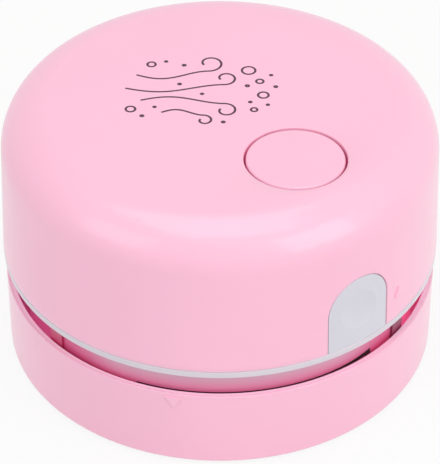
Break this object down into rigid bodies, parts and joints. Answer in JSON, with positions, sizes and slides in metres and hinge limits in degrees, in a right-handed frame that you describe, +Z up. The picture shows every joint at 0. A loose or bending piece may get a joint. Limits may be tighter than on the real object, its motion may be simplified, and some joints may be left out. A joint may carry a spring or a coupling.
{
  "type": "desktop mini vacuum cleaner",
  "caption": "Round battery-driven desktop crumb vacuum with a push button in its lid, an arch tab in its wall and a twist-off dust cup with a brush nozzle.",
  "frame": {"origin": "centre of the bottom, on the surface that the cleaner stands on", "axes": "+Z up along the axis of the drum, -Y towards the front with the push button and the arch tab, +X to the right seen from the front"},
  "size_m": [0.085, 0.085, 0.054],
  "materials": {
    "pink_shell": "injection-moulded pink ABS, high gloss",
    "pink_cap": "pink ABS push-button cap, high gloss",
    "white_frame": "injection-moulded white ABS, semi-gloss",
    "white_inner": "white moulded plastic, satin",
    "foot_rubber": "soft rubber pad",
    "bristle": "nylon bristle strip",
    "filter_cloth": "fine woven nylon mesh",
    "screw_steel": "zinc-plated steel",
    "motor_steel": "bright drawn steel",
    "spring_steel": "spring steel, nickel plated",
    "bush_brass": "sintered bronze",
    "magnet_ferrite": "dark ferrite",
    "core_steel": "laminated steel",
    "winding_copper": "enamelled copper wire",
    "cell_jacket": "plain AA cell jacket",
    "board_laminate": "glass-epoxy board",
    "switch_black": "black moulded plastic",
    "switch_white": "white switch plunger",
    "lead_red": "PVC-insulated lead, red",
    "lead_black": "PVC-insulated lead, black",
    "lead_white": "PVC-insulated lead, white"
  },
  "bodies": {
    "chassis": {"chassis": "white_frame", "fan_housing": "white_inner", "fan_inlet_plate": "white_inner", "motor_end_cap": "white_inner", "motor_cradle": "white_inner", "battery_tray_left": "white_inner", "battery_tray_right": "white_inner", "filter_gasket": "foot_rubber", "fan_screws": "screw_steel", "cradle_screws": "screw_steel", "tray_screws": "screw_steel", "board_screws": "screw_steel", "motor_can": "motor_steel", "contact_plates": "spring_steel", "contact_bridge": "spring_steel", "contact_springs": "spring_steel", "motor_terminals": "bush_brass", "motor_bush_lower": "bush_brass", "motor_bush_upper": "bush_brass", "motor_magnets": "magnet_ferrite", "battery_left": "cell_jacket", "battery_right": "cell_jacket", "switch_board": "board_laminate", "switch_body": "switch_black", "wire_battery": "lead_red", "wire_switch": "lead_white", "wire_return": "lead_black"},
    "cover": {"top_cover": "pink_shell", "button_retainer": "white_inner", "retainer_screws": "screw_steel", "button_spring": "spring_steel"},
    "button": {"power_button": "pink_cap"},
    "plunger": {"switch_plunger": "switch_white"},
    "dust_cup": {"dust_cup": "pink_shell", "foot_pads": "foot_rubber", "nozzle_frame": "white_inner", "brush_strips": "bristle", "filter_frame": "white_inner", "filter_mesh": "filter_cloth"},
    "rotor": {"motor_shaft": "motor_steel", "armature_core": "core_steel", "armature_windings": "winding_copper", "commutator": "winding_copper", "impeller": "white_inner"}
  },
  "joints": [
    {"name": "cover_lift", "type": "slide", "parent": "chassis", "child": "cover", "axis": [0, 0, 1], "range_m": [0, 0.034]},
    {"name": "button_press", "type": "slide", "parent": "cover", "child": "button", "axis": [0, 0, -1], "range_m": [0, 0.0015], "stiffness_N_per_m": 300, "springref_m": -0.0015, "deforming": ["button_spring"]},
    {"name": "plunger_press", "type": "slide", "parent": "chassis", "child": "plunger", "axis": [0, 0, -1], "range_m": [0, 0.0015]},
    {"name": "dust_cup_twist", "type": "hinge", "parent": "chassis", "child": "dust_cup", "pos_m": [0, 0, 0.01], "axis": [0, 0, 1], "range_deg": [0, 63.6]},
    {"name": "impeller_spin", "type": "hinge", "parent": "chassis", "child": "rotor", "pos_m": [0, 0, 0.03], "axis": [0, 0, 1], "continuous": true}
  ],
  "couplings": [
    {"joint": "plunger_press", "follows": "button_press", "ratio": 1}
  ]
}
